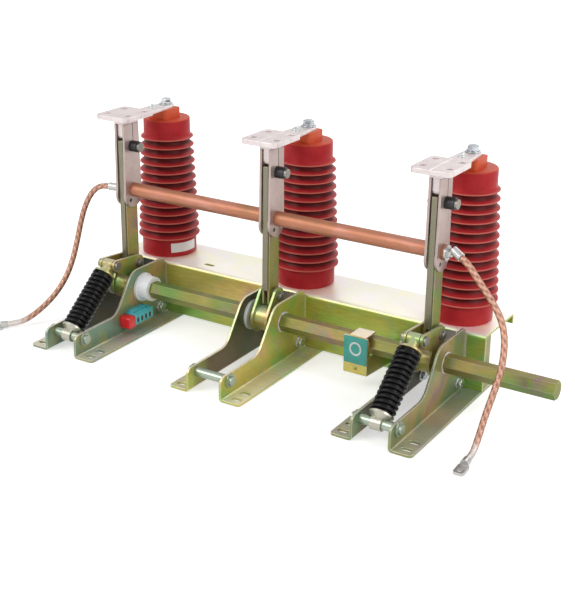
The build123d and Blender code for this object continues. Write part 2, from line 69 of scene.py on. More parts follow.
def grid_faces(rows, columns, wrap_rows=False, wrap_columns=False):
    """Quads of a grid: cell (i, j) joins rows i and i+1, columns j and j+1, wrapping where asked."""
    i = np.arange(rows if wrap_rows else rows - 1)
    j = np.arange(columns if wrap_columns else columns - 1)
    a, b = np.meshgrid(i, j, indexing="ij")
    a2, b2 = (a + 1) % rows, (b + 1) % columns
    quads = np.stack([a * columns + b, a * columns + b2, a2 * columns + b2, a2 * columns + b], -1)
    return quads.reshape(-1, 4)


def clean_mesh(mesh):
    """Merges points that coincide, drops faces with no area and turns all faces outwards."""
    work = bmesh.new()
    work.from_mesh(mesh)
    bmesh.ops.remove_doubles(work, verts=work.verts, dist=2e-6)
    bmesh.ops.dissolve_degenerate(work, edges=work.edges, dist=1e-6)
    bmesh.ops.recalc_face_normals(work, faces=work.faces)
    work.to_mesh(mesh)
    work.free()


def piece(name, parts, material, body, smooth=True, angle=40.0):
    """One object from (points, quads) parts, cleaned and shaded, which then rides on its body."""
    points, quads, start = [], [], 0
    for co, faces in parts:
        co = np.asarray(co, float).reshape(-1, 3)
        points.append(co)
        quads.append(faces + start)
        start += len(co)
    mesh = bpy.data.meshes.new(name)
    mesh.from_pydata(np.concatenate(points).tolist(), [], np.concatenate(quads).tolist())
    clean_mesh(mesh)
    mesh.materials.append(material)
    obj = bpy.data.objects.new(name, mesh)
    bpy.context.scene.collection.objects.link(obj)
    if smooth:
        mesh.shade_smooth()
        mesh.set_sharp_from_angle(angle=radians(angle))
    if body:
        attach(obj, body)
    return obj


def mesh_points(mesh):
    """All points of a mesh as one array."""
    flat = np.empty(len(mesh.vertices) * 3, np.float32)
    mesh.vertices.foreach_get("co", flat)
    return flat.reshape(-1, 3).astype(float)


def float_attribute(obj, name, values):
    """Stores one value per point of a mesh."""
    attribute = obj.data.attributes.new(name, "FLOAT", "POINT")
    attribute.data.foreach_set("value", np.asarray(values, np.float32))


def shell(rows):
    """Closed form through a stack of outlines with the same number of points, its ends filled."""
    rows = np.asarray(rows, float)
    ends = np.repeat(rows[[0, -1]].mean(1)[:, None], rows.shape[1], 1)
    rows = np.concatenate([ends[:1], rows, ends[1:]])
    return rows, grid_faces(len(rows), rows.shape[1], wrap_columns=True)


def turned(profile, centre, axis="z", around=64):
    """Lathe form: every (radius, height) of the profile goes once round the axis through the centre."""
    profile = np.asarray(profile, float)
    angle = np.linspace(0, 2 * pi, around, endpoint=False)
    r, h = profile[:, 0][:, None], profile[:, 1][:, None]
    ring = np.stack([r * np.cos(angle), r * np.sin(angle), h + 0 * angle], -1)
    order = {"x": [2, 0, 1], "y": [1, 2, 0], "z": [0, 1, 2]}[axis]
    return ring[..., order] + np.asarray(centre, float), grid_faces(len(profile), around, wrap_columns=True)


def frames_along(path):
    """Tangent, normal and binormal along a line, turned as little as possible from point to point."""
    path = np.asarray(path, float)
    tangent = np.gradient(path, axis=0)
    tangent /= np.linalg.norm(tangent, axis=1)[:, None]
    start = np.cross(tangent[0], (0.0, 0.0, 1.0))
    normal = [start / np.linalg.norm(start)]
    for t in tangent[1:]:
        n = normal[-1] - t * np.dot(normal[-1], t)
        normal.append(n / np.linalg.norm(n))
    normal = np.array(normal)
    return tangent, normal, np.cross(tangent, normal)


def carried(path, section):
    """A closed section of (across, up) points carried along a path."""
    path = np.asarray(path, float)
    _, normal, binormal = frames_along(path)
    section = np.asarray(section, float)[None]
    return shell(path[:, None] + section[..., :1] * normal[:, None] + section[..., 1:] * binormal[:, None])


def unit(turn):
    """Points of the unit circle at the given angles."""
    return np.stack([np.cos(turn), np.sin(turn)], -1)


def circle(radius, around):
    """Points of a round section."""
    return radius * unit(np.linspace(0, 2 * pi, around, endpoint=False))


def slab(outline, normal_axis, low, high, round_edge):
    """Flat plate: an outline of (a, b) points between two places along one axis.

    Near each rim the outline shrinks by a quarter circle of the edge's radius."""
    outline = np.asarray(outline, float)
    middle = outline.mean(0)
    size = np.abs(outline - middle).max()
    steps = []
    for turn in np.linspace(0, pi / 2, 4):
        steps.append((1 - round_edge / size * (1 - sin(turn)), round_edge * (1 - cos(turn))))
    steps += [(scale, high - low - drop) for scale, drop in reversed(steps)]
    rows = []
    for scale, height in steps:
        flat = middle + (outline - middle) * scale
        rows.append(np.column_stack([flat, np.full(len(flat), low + height)]))
    points, faces = shell(rows)
    order = {"x": [2, 0, 1], "y": [0, 2, 1], "z": [0, 1, 2]}[normal_axis]
    return points[..., order], faces


def rounded_box(low, high, radius, arc=6):
    """Outline of a rectangle between two (a, b) corners, each corner a quarter circle."""
    (a0, b0), (a1, b1) = low, high
    left, right, low_b, high_b = a0 + radius, a1 - radius, b0 + radius, b1 - radius
    corners = []
    for number, hub in enumerate(((right, high_b), (left, high_b), (left, low_b), (right, low_b))):
        corners.append(hub + radius * unit(np.linspace(0, pi / 2, arc) + number * pi / 2))
    return np.concatenate(corners)


def hexagon(flats, turn):
    """Corners of a hexagon from its width across flats."""
    return flats / 2 / cos(pi / 6) * unit(np.arange(6) * pi / 3 + turn)


# Shader helpers


def feed(tree, socket, value):
    """Links another node's socket to an input, or sets the input's own value."""
    if isinstance(value, bpy.types.NodeSocket):
        tree.links.new(value, socket)
    elif socket.type == "RGBA":
        socket.default_value = (*value, 1.0)
    else:
        socket.default_value = value


def add(tree, kind, **settings):
    """A new node; in_Name or in_0 feeds one of its inputs, and any other name is a setting of the node."""
    node = tree.nodes.new(kind)
    for key, value in settings.items():
        if key.startswith("in_"):
            label = key[3:].replace("_", " ")
            feed(tree, node.inputs[int(label) if label.isdigit() else label], value)
        else:
            setattr(node, key, value)
    return node


def group(name, inputs, outputs):
    """An empty shader group with named sockets; an input without a number is a vector."""
    tree = bpy.data.node_groups.new(name, "ShaderNodeTree")
    for label, default in inputs.items():
        kind = "NodeSocketVector" if default is None else "NodeSocketFloat"
        socket = tree.interface.new_socket(name=label, in_out="INPUT", socket_type=kind)
        if default is not None:
            socket.default_value = default
    for label, kind in outputs.items():
        tree.interface.new_socket(name=label, in_out="OUTPUT", socket_type=f"NodeSocket{kind}")
    return tree, tree.nodes.new("NodeGroupInput").outputs, tree.nodes.new("NodeGroupOutput").inputs


def place(tree, made, **inputs):
    """A group placed in a material with its own values and links; returns its outputs."""
    node = tree.nodes.new("ShaderNodeGroup")
    node.node_tree = made
    for key, value in inputs.items():
        feed(tree, node.inputs[key.replace("_", " ")], value)
    return node.outputs


def ramp(tree, value, stops):
    """Colour over a value, from (position, colour) stops."""
    node = add(tree, "ShaderNodeValToRGB", in_0=value)
    items = node.color_ramp.elements
    while len(items) < len(stops):
        items.new(0.5)
    for item, (spot, colour) in zip(items, stops):
        item.position = spot
        item.color = (*colour, 1.0)
    return node.outputs[0]


def mixed(tree, factor, first, second):
    """Two colours mixed; each of the three may be a socket or a value."""
    return add(tree, "ShaderNodeMix", data_type="RGBA", in_0=factor, in_6=first, in_7=second).outputs[2]


def stretched(tree, value, low, high, to_low=0.0, to_high=1.0):
    """A value mapped from one range to another and kept inside it."""
    limits = dict(in_1=low, in_2=high, in_3=to_low, in_4=to_high)
    return add(tree, "ShaderNodeMapRange", clamp=True, in_0=value, **limits).outputs[0]


def maths(tree, operation, first, second):
    """One sum on two values; each may be a socket or a number."""
    return add(tree, "ShaderNodeMath", operation=operation, in_0=first, in_1=second).outputs[0]


def times(tree, first, second):
    """Product of two values."""
    return maths(tree, "MULTIPLY", first, second)


def drawn_out(tree, vector, factors):
    """A vector with each of its axes scaled, which draws a noise out along the others."""
    return add(tree, "ShaderNodeVectorMath", operation="MULTIPLY", in_0=vector, in_1=factors).outputs[0]


def axes(tree, vector):
    """The three numbers of a vector."""
    return add(tree, "ShaderNodeSeparateXYZ", in_0=vector).outputs


def noise(tree, vector, scale, **settings):
    """Height of a noise over a vector."""
    return add(tree, "ShaderNodeTexNoise", **settings, in_Vector=vector, in_Scale=scale).outputs[0]


def attribute(tree, name):
    """Value of a point attribute."""
    return add(tree, "ShaderNodeAttribute", attribute_name=name).outputs["Fac"]


# Shared effects


def make_grain():
    """Fine grain: a small noise gives a height, and a broad one a change of roughness."""
    inputs = {"Vector": None, "Scale": 900.0, "Roughness": 0.3, "Spread": 0.1}
    tree, given, out = group("fine_grain", inputs, {"Height": "Float", "Roughness": "Float"})
    tree.links.new(noise(tree, given["Vector"], given["Scale"], in_Detail=3.0), out["Height"])
    broad = noise(tree, given["Vector"], 45.0, in_Detail=2.0)
    shift = times(tree, maths(tree, "SUBTRACT", broad, 0.5), given["Spread"])
    tree.links.new(maths(tree, "ADD", shift, given["Roughness"]), out["Roughness"])
    return tree


def make_edges():
    """Edge highlights: where the rounded normal leaves the flat one, the mask goes to one; the materials
    paint highlights on edges with it.
    """
    inputs = {"Radius": 0.001, "Reach": 0.12}
    tree, given, out = group("edge_highlights", inputs, {"Mask": "Float", "Normal": "Vector"})
    bevel = add(tree, "ShaderNodeBevel", samples=6, in_Radius=given["Radius"]).outputs[0]
    flat = add(tree, "ShaderNodeNewGeometry").outputs["Normal"]
    dot = add(tree, "ShaderNodeVectorMath", operation="DOT_PRODUCT", in_0=bevel, in_1=flat)
    away = maths(tree, "SUBTRACT", 1.0, dot.outputs["Value"])
    tree.links.new(stretched(tree, away, 0.0, given["Reach"]), out["Mask"])
    tree.links.new(bevel, out["Normal"])
    return tree


def make_tints():
    """Chromate tints: slow noise runs through green, olive, straw and rose.

    Faces that look up turn pale with a painted highlight, faces that look along +X may turn dark with a
    painted shadow, and the low part may turn green."""
    inputs = {"Vector": None, "Normal": None, "Scale": 9.0, "Shift": 0.0, "Rose": 0.5, "Pale": 0.8}
    inputs |= {"Green low": 0.0, "Depth": 1.0, "Cool": 0.0, "Inner dark": 0.0}
    tree, given, out = group("chromate_tints", inputs, {"Color": "Color", "Height": "Float"})
    slow = noise(
        tree, given["Vector"], given["Scale"], noise_dimensions="4D", in_Detail=3.0, in_Roughness=0.5,
        in_Distortion=0.9, in_W=given["Shift"],
    )
    patch = noise(
        tree, given["Vector"], times(tree, given["Scale"], 2.3), noise_dimensions="4D", in_Detail=4.0,
        in_Roughness=0.6, in_Distortion=1.6, in_W=maths(tree, "ADD", given["Shift"], 7.0),
    )
    spot, facing = axes(tree, given["Vector"]), axes(tree, given["Normal"])

    lower = times(tree, stretched(tree, spot["Z"], 0.062, 0.030), given["Green low"])
    level = maths(tree, "SUBTRACT", slow, times(tree, lower, 0.13))
    stops = [
        (0.28, (0.170, 0.380, 0.090)), (0.38, (0.250, 0.420, 0.085)), (0.47, (0.380, 0.400, 0.075)),
        (0.55, (0.470, 0.400, 0.095)), (0.63, (0.560, 0.390, 0.130)), (0.72, (0.430, 0.290, 0.230)),
    ]
    colour = ramp(tree, level, stops)
    rose = times(tree, stretched(tree, patch, 0.52, 0.68), given["Rose"])
    colour = mixed(tree, rose, colour, (0.400, 0.250, 0.205))
    sheen = times(tree, stretched(tree, patch, 0.46, 0.34), 0.35)
    colour = mixed(tree, sheen, colour, (0.180, 0.370, 0.230))
    cool = times(tree, stretched(tree, slow, 0.66, 0.44), given["Cool"])
    colour = mixed(tree, cool, colour, (0.210, 0.330, 0.250))
    # Painted shadow: faces that look along +X turn dark, except near the front.
    inner = times(tree, stretched(tree, facing["X"], 0.4, 0.9), stretched(tree, spot["Y"], -0.132, -0.098))
    colour = mixed(tree, times(tree, inner, given["Inner dark"]), colour, (0.045, 0.035, 0.022))
    # Painted highlight: faces that look up turn pale cream, as if lit from above.
    top_highlight = times(tree, stretched(tree, facing["Z"], 0.35, 0.95), given["Pale"])
    highlight_colour = mixed(tree, stretched(tree, patch, 0.40, 0.62), (0.88, 0.85, 0.66), (0.90, 0.82, 0.79))
    colour = mixed(tree, top_highlight, colour, highlight_colour)

    streak = noise(tree, drawn_out(tree, given["Vector"], (60.0, 700.0, 700.0)), 1.0, in_Detail=2.0)
    worn = times(tree, stretched(tree, streak, 0.3, 0.7, 0.88, 1.10), given["Depth"])
    shade = add(tree, "ShaderNodeVectorMath", operation="SCALE", in_0=colour, in_Scale=worn)
    tree.links.new(shade.outputs[0], out["Color"])
    tree.links.new(streak, out["Height"])
    return tree


grain_group = make_grain()
edge_group = make_edges()
tint_group = make_tints()


# Finishes


def new_material(name):
    """A material with its Principled shader and Object coordinates."""
    material = bpy.data.materials.new(name)
    material.use_nodes = True
    tree = material.node_tree
    spot = tree.nodes.new("ShaderNodeTexCoord").outputs["Object"]
    return material, tree, tree.nodes["Principled BSDF"].inputs, spot


def grain(tree, spot, scale, rough, spread):
    """Fine grain over the object; returns its height and its roughness."""
    made = place(tree, grain_group, Vector=spot, Scale=scale, Roughness=rough, Spread=spread)
    return made["Height"], made["Roughness"]


def bumped(tree, height, strength, distance=0.0001, **normal):
    """A Bump node on a height, over a rounded normal where one is given."""
    return add(
        tree, "ShaderNodeBump", in_Strength=strength, in_Distance=distance, in_Height=height, **normal
    ).outputs[0]


def finish(tree, shader, colour, roughness, normal, metallic=0.0, shine=0.5, coat=0.0):
    """Feeds the shader: two constant numbers and three patterns, with an optional clear coat."""
    feed(tree, shader["Base Color"], colour)
    feed(tree, shader["Roughness"], roughness)
    feed(tree, shader["Normal"], normal)
    shader["Metallic"].default_value = metallic
    shader["Specular IOR Level"].default_value = shine
    shader["Coat Weight"].default_value = coat


def plated(
    # pale sets the painted highlight on faces that look up.
    name, scale, shift, rose=0.5, pale=0.8, green_low=0.0, rough=0.34, edge=0.0012, depth=1.0, cool=0.0,
    # inner sets a painted shadow on inner faces that look along +X.
    inner=0.0,
):
    """Yellow chromate zinc on sheet or bar: tints, pale edges as a painted highlight, and a rolled grain."""
    material, tree, shader, spot = new_material(name)
    edges = place(tree, edge_group, Radius=edge, Reach=0.10)
    tints = place(
        tree, tint_group, Vector=spot, Normal=edges["Normal"], Scale=scale, Shift=shift, Rose=rose, Pale=pale,
        Green_low=green_low, Depth=depth, Cool=cool, Inner_dark=inner,
    )
    _, roughness = grain(tree, spot, 700.0, rough, 0.16)
    # Painted highlight: edges turn pale by the edge mask.
    colour = mixed(tree, times(tree, edges["Mask"], 0.75), tints["Color"], (0.72, 0.62, 0.50))
    normal = bumped(tree, tints["Height"], 0.12, 0.0002, in_Normal=edges["Normal"])
    finish(tree, shader, colour, roughness, normal, metallic=0.5)
    return material


def bare_metal(name, colour, dull, rough=0.3, metallic=0.9, edge=0.0006, spread=0.15, mark=0.35, bump=0.1):
    """Solid metal: a colour, a dull second tone in slow patches, a painted highlight on the edges and a fine
    grain.
    """
    material, tree, shader, spot = new_material(name)
    edges = place(tree, edge_group, Radius=edge, Reach=0.14)
    height, roughness = grain(tree, spot, 1100.0, rough, spread)
    slow = noise(tree, spot, 60.0, in_Detail=4.0, in_Roughness=0.6)
    tone = mixed(tree, times(tree, stretched(tree, slow, 0.42, 0.66), mark), colour, dull)
    # Painted highlight: a lighter tone mixed in along the edges.
    light = tuple(min(1.0, 0.35 + 0.75 * c) for c in colour)
    tone = mixed(tree, times(tree, edges["Mask"], 0.6), tone, light)
    normal = bumped(tree, height, bump, in_Normal=edges["Normal"])
    finish(tree, shader, tone, roughness, normal, metallic=metallic)
    return material


def moulded(name, colour, rough=0.35, coat=0.0, edge=0.0006, tone=0.15, shine=0.5):
    """Moulded plastic: one colour a little uneven, softened edges with a painted highlight, and a fine
    texture.
    """
    material, tree, shader, spot = new_material(name)
    edges = place(tree, edge_group, Radius=edge, Reach=0.2)
    height, roughness = grain(tree, spot, 1500.0, rough, 0.1)
    slow = noise(tree, spot, 90.0, in_Detail=3.0)
    darker = tuple(c * (1 - tone) for c in colour)
    base = mixed(tree, stretched(tree, slow, 0.35, 0.65), darker, colour)
    # Painted highlight: edges lighten, more so the shinier the plastic.
    light = tuple(0.02 + 0.16 * shine + 0.88 * c for c in colour)
    base = mixed(tree, times(tree, edges["Mask"], 0.5), base, light)
    normal = bumped(tree, height, 0.08, in_Normal=edges["Normal"])
    finish(tree, shader, base, roughness, normal, shine=shine, coat=coat)
    return material


def epoxy():
    """Red cast epoxy: painted shade in the grooves, a painted highlight on the thin rims, orange on the
    neck's top, satin.
    """
    material, tree, shader, spot = new_material("red_epoxy")
    height, roughness = grain(tree, spot, 800.0, 0.42, 0.12)
    rim = attribute(tree, "rim")
    slow = stretched(tree, noise(tree, spot, 40.0, in_Detail=3.0), 0.35, 0.65)
    base = mixed(tree, slow, (0.400, 0.017, 0.022), (0.480, 0.027, 0.031))
    neck_top = stretched(tree, axes(tree, spot)["Z"], 0.2700, 0.2735)
    base = mixed(tree, neck_top, base, (0.660, 0.110, 0.045))
    # Painted shade: dark maroon towards the cone, under each shed's rim.
    groove_shade = times(tree, stretched(tree, rim, 0.60, 0.18), 0.94)
    base = mixed(tree, groove_shade, base, (0.070, 0.002, 0.002))
    # Painted highlight: a pale line on each shed's tip.
    crest = times(tree, stretched(tree, rim, 0.84, 0.98), 0.80)
    base = mixed(tree, crest, base, (0.640, 0.170, 0.125))
    finish(tree, shader, base, roughness, bumped(tree, height, 0.05), shine=0.14)
    return material


def copper_bar():
    """Drawn copper: lengthwise draw lines, orange to rose tarnish in long patches."""
    material, tree, shader, spot = new_material("copper_bar")
    lines = noise(tree, drawn_out(tree, spot, (25.0, 900.0, 900.0)), 1.0, in_Detail=3.0)
    long = drawn_out(tree, spot, (14.0, 60.0, 60.0))
    slow = noise(tree, long, 1.0, in_Detail=4.0, in_Distortion=0.8)
    stops = [(0.30, (0.36, 0.175, 0.085)), (0.50, (0.46, 0.185, 0.105)), (0.68, (0.52, 0.245, 0.185))]
    _, roughness = grain(tree, spot, 900.0, 0.50, 0.14)
    finish(tree, shader, ramp(tree, slow, stops), roughness, bumped(tree, lines, 0.2), metallic=0.6)
    return material


def braid_wire():
    """Bare copper wire: painted shade between the ribbons, dark diagonal flecks, tinned and pale at the far
    end.
    """
    material, tree, shader, spot = new_material("braid_wire")
    # The dark end of the ramp is painted shade between the ribbons, and also the dark of the flecks.
    stops = [(0.0, (0.17, 0.065, 0.042)), (0.45, (0.44, 0.22, 0.150)), (1.0, (0.66, 0.40, 0.30))]
    tint = ramp(tree, attribute(tree, "shade_and_fleck"), stops)
    colour = mixed(tree, attribute(tree, "tinned"), tint, (0.74, 0.70, 0.66))
    height, roughness = grain(tree, spot, 1600.0, 0.38, 0.2)
    finish(tree, shader, colour, roughness, bumped(tree, height, 0.15), metallic=0.65)
    return material


sheet_beam = plated(
    "plated_beam", scale=5.5, shift=1.3, rose=0.3, pale=1.0, green_low=0.85, rough=0.40, depth=1.3
)
bracket_looks = (
    dict(scale=12.0, shift=4.2, rose=0.7, pale=0.75, rough=0.40, edge=0.0014, depth=0.92, cool=1.0),
    dict(scale=12.0, shift=4.2, rose=0.4, pale=0.6, rough=0.40, edge=0.0014, depth=1.25),
    dict(scale=12.0, shift=8.6, rose=0.9, pale=0.5, rough=0.42, edge=0.0014, depth=0.78, cool=0.55),
)
near_sheets, far_sheets = [], []
for number, look in enumerate(bracket_looks, start=1):
    near_sheets.append(plated(f"near_plate_{number}", **look))
    # The far plates carry a painted shadow on their inner faces.
    far_sheets.append(plated(f"far_plate_{number}", inner=0.85, **look))
bar_plated = plated(
    "plated_shaft", scale=8.0, shift=9.4, rose=0.9, pale=0.0, green_low=0.2, rough=0.52, edge=0.0008,
    depth=0.54,
)
arm_plated = plated(
    "plated_arm", scale=10.0, shift=2.6, rose=0.9, pale=0.2, rough=0.45, edge=0.001, depth=0.66
)
small_plated = plated(
    "plated_small_parts", scale=24.0, shift=6.1, rose=0.3, pale=0.4, rough=0.36, edge=0.0008, depth=0.85
)
bright_zinc = bare_metal("bright_zinc", (0.56, 0.60, 0.60), (0.34, 0.39, 0.40), rough=0.26)
bolt_zinc = bare_metal("bolt_zinc", (0.46, 0.49, 0.51), (0.24, 0.26, 0.29), rough=0.24, spread=0.2, mark=0.6)
seat_metal = bare_metal("seat_metal", (0.47, 0.455, 0.38), (0.30, 0.30, 0.23), rough=0.34)
dull_zinc = bare_metal("dull_zinc", (0.25, 0.24, 0.21), (0.15, 0.145, 0.12), rough=0.42)
pin_zinc = bare_metal("pin_zinc", (0.36, 0.42, 0.34), (0.24, 0.28, 0.20), rough=0.34)
silvered_casting = bare_metal(
    "silvered_casting", (0.74, 0.66, 0.65), (0.56, 0.47, 0.455), rough=0.42, metallic=0.55, edge=0.0014,
    mark=0.5, bump=0.3,
)
silvered_copper = bare_metal(
    "silvered_copper", (0.46, 0.365, 0.335), (0.37, 0.27, 0.24), rough=0.36, metallic=0.6, edge=0.001,
    mark=0.5,
)
strip_metal = bare_metal("strip_metal", (0.23, 0.21, 0.15), (0.19, 0.19, 0.09), rough=0.4, metallic=0.6)
tinned = bare_metal("tinned_lug", (0.50, 0.49, 0.48), (0.32, 0.31, 0.30), rough=0.34, mark=0.5)
label_foil = bare_metal(
    "label_foil", (0.78, 0.78, 0.77), (0.62, 0.65, 0.64), rough=0.45, metallic=0.3, edge=0.0002
)
nylon = moulded("white_nylon", (0.90, 0.91, 0.93), rough=0.5, edge=0.0012, tone=0.08)
sleeve = moulded("black_sleeve", (0.012, 0.012, 0.013), rough=0.42, tone=0.3)
spring_steel = moulded("black_spring_wire", (0.004, 0.004, 0.005), rough=0.28, tone=0.3, shine=0.22)
cyan_plastic = moulded("cyan_plastic", (0.070, 0.52, 0.60), rough=0.3, coat=0.2)
red_plastic = moulded("red_plastic", (0.80, 0.012, 0.020), rough=0.3, coat=0.2)
teal_enamel = moulded("teal_enamel", (0.030, 0.36, 0.30), rough=0.35, coat=0.3)
white_enamel = moulded("white_enamel", (0.72, 0.80, 0.78), rough=0.4)
# Painted shade: dark sheets that stand for the inside of slits, holes and openings.
painted_hole_shade = moulded("painted_hole_shade", (0.055, 0.045, 0.045), rough=0.7, tone=0.3)
red_epoxy = epoxy()
copper = copper_bar()
braid_copper = braid_wire()


# CAD pieces


def coat(material, *names):
    """Gives CAD nodes their finish."""
    for name in names:
        mesh = nodes[name].data
        mesh.materials.clear()
        mesh.materials.append(material)


coat(sheet_beam, "beam")
for number in (1, 2, 3):
    coat(far_sheets[number - 1], f"plate_left_{number}")
    coat(near_sheets[number - 1], f"plate_right_{number}")
    coat(arm_plated, f"arm_{number}")
    coat(small_plated, f"crank_{number}")
    coat(silvered_casting, f"fixed_contact_{number}")
    coat(silvered_copper, f"blades_{number}")
coat(bar_plated, "shaft")
coat(bright_zinc, "terminal_bolts", "base_bolts", "bracket_bolts")
coat(dull_zinc, "clamp_bolts", "crank_bolts", "crank_pins")
coat(pin_zinc, "cross_pins")
coat(seat_metal, "lower_guide_left", "lower_guide_right")
coat(small_plated, "upper_guide_left", "upper_guide_right")
coat(near_sheets[1], "indicator_bracket")
coat(nylon, "shaft_bushings")
coat(sleeve, "clamp_sleeves")
coat(copper, "cross_bar")
coat(tinned, "bar_lug_left", "bar_lug_right", "far_lug_left", "far_lug_right")


# Insulators, with radii and heights above the beam in millimetres

BASE_RADIUS, CONE_LOW, CONE_TOP, NECK_RADIUS = 38.5, 37.0, 30.5, 32.5
SHED_LOW, SHED_HIGH, RIM_HEIGHT, POST_HEIGHT = 25.4, 177.9, 194.5, 208.0
SHEDS, TIP_LOW, TIP_HIGH = 13, 43.6, 36.0
SHED_PITCH = (SHED_HIGH - SHED_LOW) / SHEDS
PLAIN_TONE = 0.76


def between(height, low, high):
    """A radius that goes evenly from one value to another over the height of the sheds."""
    return low + (high - low) * np.clip((height - SHED_LOW) / (SHED_HIGH - SHED_LOW), 0.0, 1.0)


def cone_radius(height):
    """Radius of the cone under the sheds."""
    return between(height, CONE_LOW, CONE_TOP)


def tip_radius(height):
    """Radius of the shed tips."""
    return between(height, TIP_LOW, TIP_HIGH)


def insulator_profile():
    """Radius over height of the ribbed post: 13 thin drooping sheds on a slim cone between base and neck.

    Within each pitch the shed goes out along its flat underside, round its thin rim, and back along a
    hollow upper side to the cone. The top shed's upper side runs straight into the neck."""
    base, top = BASE_RADIUS, NECK_RADIUS
    profile = [
        (0, 0), (base - 1.0, 0), (base - 0.3, 0.3), (base, 1.0), (base, SHED_LOW - 1.5),
        (base - 0.5, SHED_LOW - 0.4),
    ]
    for shed in range(SHEDS):
        low = SHED_LOW + shed * SHED_PITCH
        tip = tip_radius(low)
        root = cone_radius(low + SHED_PITCH * 0.35)
        profile += [
            (root - 0.6, low + 4.2), (root - 0.2, low + 3.1), (root + 1.6, low + 2.3), (tip - 1.4, low + 1.0),
            (tip - 0.5, low + 0.8), (tip, low + 1.2), (tip - 0.05, low + 1.9), (tip - 0.6, low + 2.6),
        ]
        if shed < SHEDS - 1:
            profile += [
                (tip - 2.4, low + 3.7), (tip - 4.3, low + 5.6), (tip - 5.6, low + 8.0),
                (cone_radius(low + SHED_PITCH) + 0.05, low + 10.4),
            ]
    last = SHED_HIGH - SHED_PITCH
    profile += [
        (top + 1.1, last + 3.9), (top + 0.3, last + 5.4), (top, last + 7.5), (top - 0.1, RIM_HEIGHT - 2.4),
        (top - 0.35, RIM_HEIGHT - 1.0), (top - 1.1, RIM_HEIGHT - 0.25), (top - 2.2, RIM_HEIGHT),
        (0, RIM_HEIGHT),
    ]
    return np.array(profile) * MM


def boss(x):
    """Raised block on the neck under the terminal's tongue, set towards the front."""
    outline = rounded_box((x - 0.0155, INSULATOR_Y - 0.0225), (x + 0.0155, INSULATOR_Y + 0.0125), 0.004)
    return slab(outline, "z", BEAM_TOP + (RIM_HEIGHT - 0.5) * MM, BEAM_TOP + POST_HEIGHT * MM, 0.0008)


def ribbed_posts():
    """The three insulators; the value rim goes from nothing at the cone to one at a shed's tip."""
    profile = insulator_profile()
    for number, x in enumerate(PHASES, start=1):
        parts = [turned(profile, (x, INSULATOR_Y, BEAM_TOP), around=96), boss(x)]
        post = piece(f"ribbed_post_{number}", parts, red_epoxy, "root", angle=55.0)
        points = mesh_points(post.data)
        height = (points[:, 2] - BEAM_TOP) / MM
        out = np.hypot(points[:, 0] - x, points[:, 1] - INSULATOR_Y) / MM
        cone, tip = cone_radius(height), tip_radius(height)
        share = np.clip((out - cone) / (tip - cone), 0, 1)
        ribbed = (height > SHED_LOW) & (height < SHED_HIGH - 9.0)
        # The material paints groove shade and a rim highlight from this value; PLAIN_TONE leaves both off.
        float_attribute(post, "rim", np.where(ribbed, share, PLAIN_TONE))
        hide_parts(f"insulator_{number}")


ribbed_posts()


# Terminals and blades

PLATE_LOW, PLATE_HIGH = 0.289, 0.295
PLATE_HALF, PLATE_FRONT, PLATE_REAR, PLATE_CORNER = 0.026, -0.023, 0.039, 7.0 * MM
HOLES_Y, HOLE_PITCH, HOLE_RADIUS = 0.011, 33.5 * MM, 4.5 * MM
TONGUE_LOW, TONGUE_HIGH = 0.286, 0.290
TONGUE_FRONT, TONGUE_WIDE, TONGUE_END = 0.030, 15.0 * MM, 11.0 * MM
TERMINAL_Y = 0.010
NECK_RUN, FLARE_SIDE, FLARE_RUN = 15.5 * MM, 9.5 * MM, 6.0 * MM
WEDGE = ((0.2615, 3.2, 10.6), (0.2630, 4.3, 12.0), (0.266, 4.8, 12.7), (0.2825, 4.9, 13.0))
BLADE_FRONT, BLADE_REAR = -0.005, 0.025
BLADE_INNER, BLADE_OUTER = 5.25 * MM, 8.25 * MM
BLADE_END, BLADE_END_RADIUS = (0.0105, 0.1835), 18.0 * MM
STRIP_LOW, STRIP_HIGH, STRIP_HALF = (-0.0042, 0.094), (0.0225, 0.2590), 3.6 * MM
CLAMP_Z = 0.2505
SWING = 0.2252
BLADE_SCREW = [(0, 1.6), (1.4, 1.5), (2.1, 0.9), (2.3, -0.3), (0, -0.3)]


def swing_height(y, gap=0.0):
    """Height of the arc round the shaft's axis that the blades' top edges run on."""
    return SHAFT_Z + np.sqrt((SWING + gap) ** 2 - y**2)


def centred_box(x, half_x, half_y, radius):
    """Outline of a rounded rectangle about the terminal's middle."""
    return rounded_box((x - half_x, TERMINAL_Y - half_y), (x + half_x, TERMINAL_Y + half_y), radius)


def terminal_neck(x):
    """Neck that flares up from the blades to the plate.

    Its half width grows from the blades' outer faces by a quarter ellipse, and its underside follows
    the blades' own arc round the shaft with a small gap."""
    rows = []
    for t in np.linspace(0, 1, 9):
        flare = 1 - np.sqrt(1 - t**2)
        outline = centred_box(x, BLADE_OUTER + FLARE_SIDE * flare, NECK_RUN + FLARE_RUN * flare, 1.6 * MM)
        floor = swing_height(np.clip(outline[:, 1], BLADE_FRONT, BLADE_REAR), 0.4 * MM)
        rows.append(np.column_stack([outline, floor + (PLATE_LOW + 0.3 * MM - floor) * t]))
    return shell(rows)


def terminal_wedge(x):
    """Wedge of the terminal that stands between the two blades, narrower at its foot."""
    rows = []
    for z, half, run in WEDGE:
        outline = centred_box(x, half * MM, run * MM, 1.2 * MM)
        rows.append(np.column_stack([outline, np.full(len(outline), z)]))
    return shell(rows)


def terminal_tongue(x):
    """Flat tongue from the plate to the insulator's bolt: straight sides that draw in, and a round end."""
    y = np.linspace(TONGUE_FRONT, INSULATOR_Y, 15)
    half = np.linspace(TONGUE_WIDE, TONGUE_END, 15)
    tip = (x, INSULATOR_Y) + TONGUE_END * unit(np.linspace(0, pi, 15)[1:-1])
    outline = np.concatenate([np.column_stack([x + half, y]), tip, np.column_stack([x - half, y])[::-1]])
    return slab(outline, "z", TONGUE_LOW, TONGUE_HIGH, 0.5 * MM)


